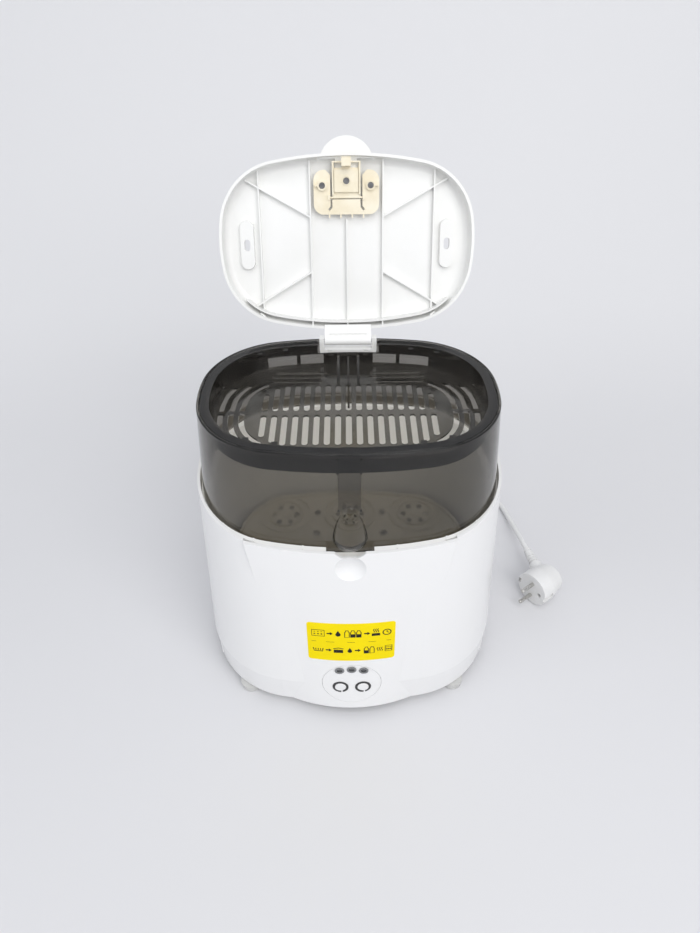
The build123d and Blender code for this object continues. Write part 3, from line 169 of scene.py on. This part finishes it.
class Mat:
    """A Principled material with its own small node helpers; colours are linear."""

    def __init__(self, name, color, rough, metallic=0.0, **sockets):
        self.m = bpy.data.materials.new(name)
        self.m.use_nodes = True
        self.t = self.m.node_tree
        self.p = self.t.nodes["Principled BSDF"]
        self.p.inputs["Base Color"].default_value = (*color, 1)
        self.p.inputs["Roughness"].default_value = rough
        self.p.inputs["Metallic"].default_value = metallic
        for k, v in sockets.items():
            self.p.inputs[k.replace("_", " ")].default_value = v
        self.color = color
        self.height = None

    def node(self, kind, **values):
        n = self.t.nodes.new(kind)
        for k, v in values.items():
            if k in n.inputs:
                n.inputs[k].default_value = v
            else:
                setattr(n, k, v)
        return n

    def link(self, a, b):
        self.t.links.new(a, b)

    def coords(self, scale=(1, 1, 1)):
        tc = self.node("ShaderNodeTexCoord")
        mp = self.node("ShaderNodeMapping")
        mp.inputs["Scale"].default_value = scale
        self.link(tc.outputs["Object"], mp.inputs["Vector"])
        return mp.outputs["Vector"]

    def noise(self, scale, detail=3.0, rough=0.55, stretch=(1, 1, 1)):
        n = self.node("ShaderNodeTexNoise")
        n.inputs["Scale"].default_value = scale
        n.inputs["Detail"].default_value = detail
        n.inputs["Roughness"].default_value = rough
        self.link(self.coords(stretch), n.inputs["Vector"])
        return n.outputs["Fac"]

    def ramp(self, fac, stops):
        r = self.node("ShaderNodeValToRGB")
        els = r.color_ramp.elements
        while len(els) < len(stops):
            els.new(0.5)
        for e, (pos, col) in zip(els, stops):
            e.position = pos
            e.color = (*col, 1) if len(col) == 3 else col
        self.link(fac, r.inputs["Fac"])
        return r.outputs["Color"]

    def vary(self, scale, dark, light=None, detail=4.0, lo=0.35, hi=0.65):
        """Slow colour variation between two tints."""
        col = self.ramp(self.noise(scale, detail), [(lo, dark), (hi, light or self.color)])
        self.link(col, self.p.inputs["Base Color"])
        return self

    def smudge(self, scale, lo, hi, detail=5.0, a=0.35, b=0.7):
        """Roughness between two values, patchy as on handled plastic."""
        r = self.node("ShaderNodeMapRange")
        r.inputs["From Min"].default_value, r.inputs["From Max"].default_value = a, b
        r.inputs["To Min"].default_value, r.inputs["To Max"].default_value = lo, hi
        self.link(self.noise(scale, detail, 0.6), r.inputs["Value"])
        self.link(r.outputs["Result"], self.p.inputs["Roughness"])
        return self

    def bump(self, scale, strength, distance=0.0002, detail=2.0, stretch=(1, 1, 1)):
        b = self.node("ShaderNodeBump")
        b.inputs["Strength"].default_value = strength
        b.inputs["Distance"].default_value = distance
        self.link(self.noise(scale, detail, 0.5, stretch), b.inputs["Height"])
        if self.height is not None:
            self.link(self.height, b.inputs["Normal"])
        self.height = b.outputs["Normal"]
        self.link(self.height, self.p.inputs["Normal"])
        return self

    def see_through(self, tint):
        """Lets lamps through the glass, tinted, so that what is inside is lit."""
        out = next(n for n in self.t.nodes if n.type == "OUTPUT_MATERIAL")
        path = self.node("ShaderNodeLightPath")
        clear = self.node("ShaderNodeBsdfTransparent")
        clear.inputs["Color"].default_value = (*tint, 1)
        mix = self.node("ShaderNodeMixShader")
        self.link(path.outputs["Is Shadow Ray"], mix.inputs[0])
        self.link(self.p.outputs[0], mix.inputs[1])
        self.link(clear.outputs[0], mix.inputs[2])
        self.link(mix.outputs[0], out.inputs["Surface"])
        return self


M = {}
M["white_gloss"] = (
    Mat("white_gloss", (0.82, 0.82, 0.82), 0.27, Specular_IOR_Level=0.5)
    .vary(5, (0.812, 0.812, 0.81), detail=1.5, lo=0.2, hi=0.8)
)
M["white_satin"] = (
    Mat("white_satin", (0.86, 0.86, 0.845), 0.42, Subsurface_Weight=0.06, Subsurface_Radius=(0.003, 0.003, 0.0028), Subsurface_Scale=0.6)
    .vary(12, (0.825, 0.825, 0.805))
    .smudge(30, 0.36, 0.50)
    .bump(1800, 0.06, 0.00004)
)
M["cream_plastic"] = (
    Mat("cream_plastic", (0.74, 0.70, 0.60), 0.38)
    .vary(14, (0.70, 0.655, 0.55))
    .smudge(34, 0.32, 0.46)
    .bump(1500, 0.05, 0.00004)
)
M["aged_cream"] = (
    Mat("aged_cream", (0.88, 0.815, 0.66), 0.36)
    .vary(60, (0.80, 0.72, 0.54), detail=5)
    .smudge(70, 0.30, 0.46)
    .bump(2000, 0.06, 0.00004)
)
M["smoke_plastic"] = (
    Mat("smoke_plastic", (0.235, 0.225, 0.207), 0.07, Transmission_Weight=1.0, IOR=1.45)
    .smudge(38, 0.05, 0.13)
    .bump(120, 0.03, 0.0002)
    .see_through((0.86, 0.85, 0.83))
)
M["smoke_plastic_deep"] = (
    Mat("smoke_plastic_deep", (0.150, 0.144, 0.134), 0.09, Transmission_Weight=1.0, IOR=1.45)
    .smudge(38, 0.07, 0.16)
    .bump(120, 0.04, 0.0003)
    .see_through((0.80, 0.79, 0.78))
)
# the channel at the middle of the chamber's front is thicker, so darker
smoke = M["smoke_plastic"]
axes = smoke.node("ShaderNodeSeparateXYZ")
smoke.link(smoke.coords(), axes.inputs[0])
across = smoke.node("ShaderNodeMath", operation="ABSOLUTE")
smoke.link(axes.outputs["X"], across.inputs[0])
mask = None
for value, kind, limit in ((across.outputs[0], "LESS_THAN", 0.0095), (axes.outputs["Y"], "LESS_THAN", -0.05), (axes.outputs["Z"], "GREATER_THAN", 0.272)):
    test = smoke.node("ShaderNodeMath", operation=kind)
    smoke.link(value, test.inputs[0])
    test.inputs[1].default_value = limit
    if mask is not None:
        both = smoke.node("ShaderNodeMath", operation="MULTIPLY")
        smoke.link(mask, both.inputs[0])
        smoke.link(test.outputs[0], both.inputs[1])
        mask = both.outputs[0]
    else:
        mask = test.outputs[0]
smoke.link(smoke.ramp(mask, [(0.0, (0.235, 0.225, 0.207)), (1.0, (0.15, 0.143, 0.132))]), smoke.p.inputs["Base Color"])
# the tray's thin floor lets more light through than its tall walls; part of this split is painted light: a lighter
# floor tint as painted reflection of the bright lid and backdrop, and a darker wall tint as painted shade of the
# shadowed space seen through the walls
deep = M["smoke_plastic_deep"]
axes = deep.node("ShaderNodeSeparateXYZ")
deep.link(deep.coords(), axes.inputs[0])
deep.link(deep.ramp(axes.outputs["Z"], [(0.3073, (0.27, 0.26, 0.24)), (0.3088, (0.085, 0.08, 0.075))]), deep.p.inputs["Base Color"])
M["clear_plastic"] = Mat("clear_plastic", (0.80, 0.82, 0.83), 0.12, Transmission_Weight=0.7, IOR=1.49).smudge(90, 0.10, 0.2)
M["label_yellow"] = (
    Mat("label_yellow", (0.90, 0.72, 0.0), 0.55, Specular_IOR_Level=0.12)
    .vary(40, (0.87, 0.69, 0.0))
    .smudge(80, 0.50, 0.62)
)
M["black_plastic"] = Mat("black_plastic", (0.018, 0.018, 0.019), 0.42).vary(120, (0.028, 0.028, 0.029)).smudge(160, 0.34, 0.5).bump(2400, 0.1, 0.00004)
M["grey_plastic"] = Mat("grey_plastic", (0.22, 0.225, 0.23), 0.4).vary(160, (0.17, 0.175, 0.18)).smudge(160, 0.34, 0.5)
M["lamp_dark"] = Mat("lamp_dark", (0.05, 0.052, 0.055), 0.12, Coat_Weight=0.6, Coat_Roughness=0.05).vary(300, (0.035, 0.037, 0.04))
M["board_green"] = Mat("board_green", (0.012, 0.10, 0.035), 0.34).vary(220, (0.01, 0.075, 0.03)).smudge(90, 0.28, 0.4)
M["silicone"] = Mat("silicone", (0.42, 0.42, 0.40), 0.55).vary(60, (0.38, 0.38, 0.36)).smudge(80, 0.5, 0.65)
M["foot_rubber"] = Mat("foot_rubber", (0.60, 0.60, 0.585), 0.6).vary(70, (0.52, 0.52, 0.50)).smudge(80, 0.55, 0.7).bump(1800, 0.12, 0.00006)
M["cord_white"] = (
    Mat("cord_white", (0.78, 0.78, 0.775), 0.42, Subsurface_Weight=0.05, Subsurface_Radius=(0.002, 0.002, 0.002), Subsurface_Scale=0.5)
    .vary(30, (0.74, 0.74, 0.73))
    .smudge(60, 0.36, 0.5)
    .bump(1500, 0.08, 0.00005)
)
M["cable_black"] = Mat("cable_black", (0.02, 0.02, 0.02), 0.45).vary(80, (0.035, 0.035, 0.035)).smudge(90, 0.4, 0.55)
M["plate_steel"] = Mat("plate_steel", (0.60, 0.60, 0.58), 0.3, metallic=1.0).vary(18, (0.50, 0.48, 0.44)).smudge(40, 0.24, 0.4).bump(700, 0.12, 0.00005, stretch=(1, 8, 1))
M["element_steel"] = Mat("element_steel", (0.22, 0.21, 0.20), 0.42, metallic=1.0).vary(50, (0.13, 0.115, 0.10)).smudge(60, 0.36, 0.55)
M["zinc_steel"] = Mat("zinc_steel", (0.52, 0.53, 0.54), 0.33, metallic=1.0).vary(200, (0.42, 0.43, 0.44)).smudge(220, 0.28, 0.45)
M["screw_dark"] = Mat("screw_dark", (0.22, 0.22, 0.225), 0.36, metallic=1.0).vary(200, (0.13, 0.13, 0.135)).smudge(220, 0.3, 0.46)
M["pin_nickel"] = Mat("pin_nickel", (0.66, 0.65, 0.62), 0.2, metallic=1.0).vary(160, (0.56, 0.55, 0.52)).smudge(180, 0.15, 0.32)
M["ink_dark"] = Mat("ink_dark", (0.012, 0.012, 0.010), 0.6, Specular_IOR_Level=0.2).vary(400, (0.02, 0.018, 0.012))
M["engraved"] = Mat("engraved", (0.55, 0.55, 0.56), 0.5).vary(90, (0.50, 0.50, 0.51))

slots = {s["node"]: s["material_slot"] for s in frame["record"]["subparts"]}
for name, obj in nodes.items():
    m = M["screw_dark" if name in ("latch_screws", "tab_screw") else slots[name]].m
    if not obj.data.materials:
        obj.data.materials.append(m)
    for i in range(len(obj.data.materials)):
        obj.data.materials[i] = m
cord.data.materials.append(M["cord_white"].m)


# ---------------------------------------------------------------------------
# Helpers for small Blender pieces
# ---------------------------------------------------------------------------


def add_piece(name, bm, mat, body, smooth=True):
    me = bpy.data.meshes.new(name)
    bm.to_mesh(me)
    bm.free()
    for p in me.polygons:
        p.use_smooth = smooth
    ob = bpy.data.objects.new(name, me)
    bpy.context.scene.collection.objects.link(ob)
    me.materials.append(M[mat].m)
    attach(ob, body)
    return ob


def tree_of(node):
    me = nodes[node].data
    return BVHTree.FromPolygons([v.co.copy() for v in me.vertices], [tuple(p.vertices) for p in me.polygons])


def front_hit(tree, x, z):
    """First point of a node's surface met from the front, x and z in metres."""
    hit = tree.ray_cast(Vector((x, -0.4, z)), Vector((0, 1, 0)))
    return hit[0]


def strip(bm, tree, pts, width, lift=0.00012, closed=False, depth=0.0):
    """A thin printed or engraved line through the points (x, z in mm) on a front surface."""
    pts = [Vector((p[0], p[1])) for p in pts]
    out = []
    n = len(pts)
    for i, p in enumerate(pts):
        a = pts[i - 1] if (i or closed) else p
        b = pts[(i + 1) % n] if (i < n - 1 or closed) else p
        d = (b - a).normalized()
        nrm = Vector((-d.y, d.x)) * (width / 2)
        row = []
        for q in (p + nrm, p - nrm):
            h = front_hit(tree, q.x / 1000, q.y / 1000)
            row.append(bm.verts.new((h.x, h.y - lift, h.z)))
        out.append(row)
    for i in range(n if closed else n - 1):
        a, b = out[i], out[(i + 1) % n]
        bm.faces.new((a[0], a[1], b[1], b[0]))


def patch(bm, tree, outline, lift=0.00012):
    """A small filled shape (x, z in mm) on a front surface."""
    vs = []
    for x, z in outline:
        h = front_hit(tree, x / 1000, z / 1000)
        vs.append(bm.verts.new((h.x, h.y - lift, h.z)))
    bm.faces.new(vs)


def arc(cx, cz, r, a0=0.0, a1=360.0, n=24):
    return [(cx + r * math.cos(math.radians(a0 + (a1 - a0) * k / n)), cz + r * math.sin(math.radians(a0 + (a1 - a0) * k / n))) for k in range(n + 1)]


# ---------------------------------------------------------------------------
# Generic pictograms on the yellow label
# ---------------------------------------------------------------------------

label_tree = tree_of("info_label")
bm = bmesh.new()


def bottle_icon(x, z, s=1.0, full=True):
    pts = [(-2.2, -5), (2.2, -5), (2.2, 2.2), (1.2, 3.4), (1.2, 4.8), (-1.2, 4.8), (-1.2, 3.4), (-2.2, 2.2)]
    outline = [(x + a * s, z + b * s) for a, b in pts]
    strip(bm, label_tree, outline, 0.8, closed=True)
    if full:
        patch(bm, label_tree, [(x - 1.9 * s, z - 4.8 * s), (x + 1.9 * s, z - 4.8 * s), (x + 1.9 * s, z - 0.4 * s), (x - 1.9 * s, z - 0.4 * s)])


def drop_icon(x, z, s=1.0):
    patch(bm, label_tree, arc(x, z - 1.2 * s, 2.5 * s, 150, 390, 18) + [(x, z + 4.4 * s)])


def arrow_icon(x, z, s=1.0):
    patch(bm, label_tree, [(x - 3.0 * s, z - 0.9 * s), (x + 0.4 * s, z - 0.9 * s), (x + 0.4 * s, z - 2.5 * s), (x + 3.4 * s, z), (x + 0.4 * s, z + 2.5 * s), (x + 0.4 * s, z + 0.9 * s), (x - 3.0 * s, z + 0.9 * s)])


def clock_icon(x, z, s=1.0):
    strip(bm, label_tree, arc(x, z, 3.8 * s, 0, 360, 28)[:-1], 1.0, closed=True)
    strip(bm, label_tree, [(x, z + 2.5 * s), (x, z), (x + 2.0 * s, z - 0.9 * s)], 0.8)


def tray_icon(x, z, s=1.0):
    strip(bm, label_tree, [(x - 5 * s, z + 2.2 * s), (x - 4.2 * s, z - 2.4 * s), (x + 4.2 * s, z - 2.4 * s), (x + 5 * s, z + 2.2 * s)], 1.0)
    for k in (-2.4, 0, 2.4):
        strip(bm, label_tree, [(x + k * s, z - 1.2 * s), (x + k * s, z + 1.8 * s)], 0.8)


def steam_icon(x, z, s=1.0):
    for dx in (-2.6, 0, 2.6):
        strip(bm, label_tree, [(x + (dx + 0.7 * math.sin(k * 0.9)) * s, z + (-3.4 + k * 0.85) * s) for k in range(9)], 0.75)


def box_icon(x, z, w, h):
    patch(bm, label_tree, [(x - w / 2, z - h / 2), (x + w / 2, z - h / 2), (x + w / 2, z + h / 2), (x - w / 2, z + h / 2)])


def frame_icon(x, z, w, h):
    strip(bm, label_tree, [(x - w / 2, z - h / 2), (x + w / 2, z - h / 2), (x + w / 2, z + h / 2), (x - w / 2, z + h / 2)], 0.8, closed=True)
    for i in (-0.28, 0.0, 0.28):
        box_icon(x + i * w, z - 0.15 * h, 1.5, 1.5)
        box_icon(x + i * w, z + 0.22 * h, 1.5, 0.7)


upper, lower = 128.5, 104.5
frame_icon(-31.5, upper, 12, 8.5)
arrow_icon(-20.5, upper, 0.9)
drop_icon(-12.5, upper, 1.0)
for x in (-4.0, 1.6, 7.2):
    bottle_icon(x, upper, 0.98, full=x > 0)
arrow_icon(15.0, upper, 0.9)
box_icon(23.5, upper - 2.2, 8.0, 3.6)
steam_icon(23.5, upper + 3.4, 0.75)
clock_icon(34.0, upper, 1.0)
tray_icon(-32.0, lower, 0.95)
arrow_icon(-22.0, lower, 0.9)
box_icon(-12.5, lower - 1.4, 9.0, 4.6)
strip(bm, label_tree, [(-17.4, lower + 2.4), (-12.5, lower + 3.6), (-7.6, lower + 2.4)], 0.9)
drop_icon(-1.5, lower, 0.9)
arrow_icon(6.0, lower, 0.9)
bottle_icon(14.5, lower, 0.95)
bottle_icon(20.0, lower, 0.95, full=False)
steam_icon(27.5, lower, 0.8)
frame_icon(36.0, lower, 6.5, 8.0)
strip(bm, label_tree, [(-38, 116.4), (-20, 116.4), (0, 116.4), (20, 116.4), (38, 116.4)], 0.4)
add_piece("label_pictograms", bm, "ink_dark", "base", smooth=False)

# ---------------------------------------------------------------------------
# Backdrop, floor and lights
# ---------------------------------------------------------------------------

bm = bmesh.new()
profile = [(-3.5, 0.0), (0.36, 0.0)]
for k in range(1, 17):
    a = math.radians(78 * k / 16)
    profile.append((0.36 + 0.75 * math.sin(a), 0.75 * (1 - math.cos(a))))
profile.append((profile[-1][0] + 3.2 * math.cos(math.radians(78)), profile[-1][1] + 3.2 * math.sin(math.radians(78))))
rows = [[bm.verts.new((x, y, z - 0.0001)) for x in (-4.0, 4.0)] for y, z in profile]
for a, b in zip(rows, rows[1:]):
    bm.faces.new((a[0], a[1], b[1], b[0]))
me = bpy.data.meshes.new("backdrop")
bm.to_mesh(me)
bm.free()
for p in me.polygons:
    p.use_smooth = True
backdrop = bpy.data.objects.new("backdrop", me)
bpy.context.scene.collection.objects.link(backdrop)
floor_mat = Mat("floor_pale", (0.70, 0.70, 0.715), 0.8)
# painted light: the floor's tint grows lighter towards the back and up the backdrop, as if that part were lit more
# strongly
axes = floor_mat.node("ShaderNodeSeparateXYZ")
floor_mat.link(floor_mat.coords(), axes.inputs[0])
floor_mat.link(floor_mat.ramp(axes.outputs["Y"], [(0.1, (0.69, 0.69, 0.705)), (0.65, (0.78, 0.78, 0.79))]), floor_mat.p.inputs["Base Color"])
me.materials.append(floor_mat.m)


def area(name, loc, target, size, power, color=(1, 1, 1), shape="RECTANGLE", size_y=None):
    d = bpy.data.lights.new(name, "AREA")
    d.energy, d.color, d.shape, d.size = power, color, shape, size
    d.size_y = size_y or size
    o = bpy.data.objects.new(name, d)
    bpy.context.scene.collection.objects.link(o)
    o.location = loc
    o.rotation_mode = "QUATERNION"
    o.rotation_quaternion = (Vector(target) - Vector(loc)).to_track_quat("-Z", "Y")
    return o


area("key", (1.0, -1.7, 1.6), (0, 0, 0.2), 1.6, 22, (1.0, 0.99, 0.98), size_y=1.2)
area("fill", (-1.7, -1.2, 1.2), (0, 0, 0.25), 1.8, 8, (0.97, 0.985, 1.0), size_y=1.4)
area("front_top", (0.15, -0.9, 2.1), (0, 0.0, 0.35), 1.4, 12, (1, 1, 1), size_y=1.2)

world = bpy.data.worlds.new("world")
bpy.context.scene.world = world
world.use_nodes = True
bg = world.node_tree.nodes["Background"]
bg.inputs["Color"].default_value = (0.93, 0.95, 1.0, 1)
bg.inputs["Strength"].default_value = 0.60

bpy.context.scene.view_settings.view_transform = "Standard"
bpy.context.scene.view_settings.look = "None"
